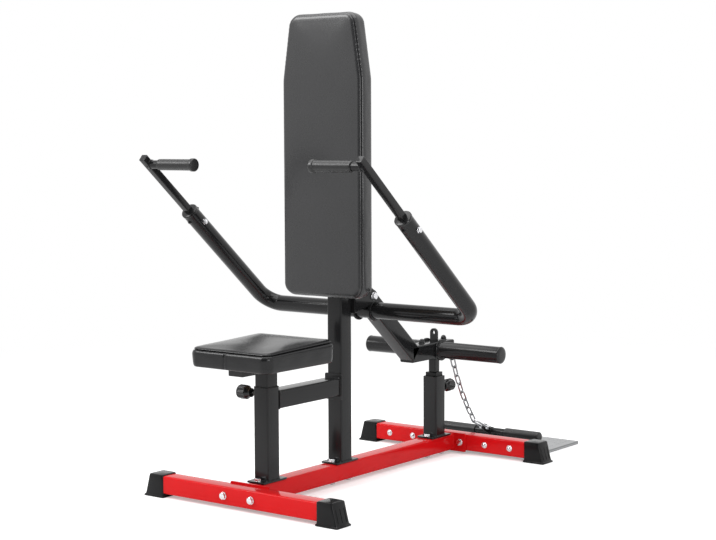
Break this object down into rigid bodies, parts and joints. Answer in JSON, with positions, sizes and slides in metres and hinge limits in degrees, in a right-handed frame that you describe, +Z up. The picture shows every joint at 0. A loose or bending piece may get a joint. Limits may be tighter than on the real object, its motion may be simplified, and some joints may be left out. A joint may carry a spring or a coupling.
{
  "type": "seated dip machine",
  "caption": "Seated dip machine with padded seat and back rest on a floor base, and a pivoted press arm whose lever carries weight horns and a row chain.",
  "frame": {"origin": "on the floor, at the middle of the machine's bounding box", "axes": "+Z up, -Y the way the seated user faces, +X the user's left"},
  "size_m": [0.8096, 1.378, 1.3248],
  "materials": {
    "red_paint": "gloss",
    "black_coat": "satin",
    "leatherette": "satin",
    "rubber": "matte",
    "plastic": "satin",
    "chrome": "polished",
    "checker_plate": "satin",
    "plywood": "matte"
  },
  "bodies": {
    "frame": {"front_stabiliser": "red_paint", "rear_stabiliser": "red_paint", "front_foot_left": "rubber", "front_foot_right": "rubber", "rear_foot_left": "rubber", "rear_foot_right": "rubber", "main_rail": "red_paint", "footplate": "checker_plate", "seat_post": "black_coat", "main_post": "black_coat", "rear_post": "black_coat", "post_cap": "plastic", "seat_strut": "black_coat", "pivot_bracket": "black_coat", "pivot_bolt": "chrome", "back_board": "plywood", "back_cushion": "leatherette", "front_flange_bolt_left": "chrome", "front_flange_bolt_right": "chrome", "rear_flange_bolt_left": "chrome", "rear_flange_bolt_right": "chrome", "seat_post_bolt_front": "chrome", "seat_post_bolt_rear": "chrome", "main_post_bolt_front": "chrome", "main_post_bolt_rear": "chrome", "rear_post_bolt_front": "chrome", "rear_post_bolt_rear": "chrome"},
    "seat": {"seat_tube": "black_coat", "seat_frame": "black_coat", "seat_board": "plywood", "seat_cushion": "leatherette"},
    "seat_knob": {"seat_knob": "plastic"},
    "stop": {"stop_tube": "black_coat", "stop_pad": "rubber"},
    "stop_knob": {"stop_knob": "plastic"},
    "lever": {"lever": "black_coat", "pivot_bush": "plastic", "press_arm": "black_coat", "horn_left": "black_coat", "horn_cap_left": "rubber", "handle_bar_left": "black_coat", "grip_left": "rubber", "arm_bolt_left": "chrome", "horn_right": "black_coat", "horn_cap_right": "rubber", "handle_bar_right": "black_coat", "grip_right": "rubber", "arm_bolt_right": "chrome"},
    "chain": {"chain_link_1": "chrome", "chain_link_2": "chrome", "chain_link_3": "chrome", "chain_link_4": "chrome", "chain_link_5": "chrome", "chain_link_6": "chrome", "chain_link_7": "chrome", "chain_link_8": "chrome", "shackle": "chrome", "row_bar": "black_coat", "row_grip_left": "rubber", "row_grip_right": "rubber"}
  },
  "joints": [
    {"name": "seat_height", "type": "slide", "parent": "frame", "child": "seat", "axis": [0, 0, 1], "range_m": [-0.04, 0.12]},
    {"name": "seat_knob_pull", "type": "slide", "parent": "frame", "child": "seat_knob", "axis": [-1, 0, 0], "range_m": [0, 0.012], "stiffness_N_per_m": 600, "springref_m": -0.01},
    {"name": "stop_height", "type": "slide", "parent": "frame", "child": "stop", "axis": [0, 0, 1], "range_m": [-0.025, 0]},
    {"name": "stop_knob_pull", "type": "slide", "parent": "frame", "child": "stop_knob", "axis": [0, 1, 0], "range_m": [0, 0.012], "stiffness_N_per_m": 600, "springref_m": -0.01},
    {"name": "lever_hinge", "type": "hinge", "parent": "frame", "child": "lever", "pos_m": [0, -0.09615, 0.528], "axis": [1, 0, 0], "range_deg": [0, 45]},
    {"name": "chain_hinge", "type": "hinge", "parent": "lever", "child": "chain", "pos_m": [0, 0.36485, 0.298], "axis": [1, 0, 0], "range_deg": [-45, 0]}
  ],
  "couplings": [
    {"joint": "chain_hinge", "follows": "lever_hinge", "ratio": -1}
  ]
}
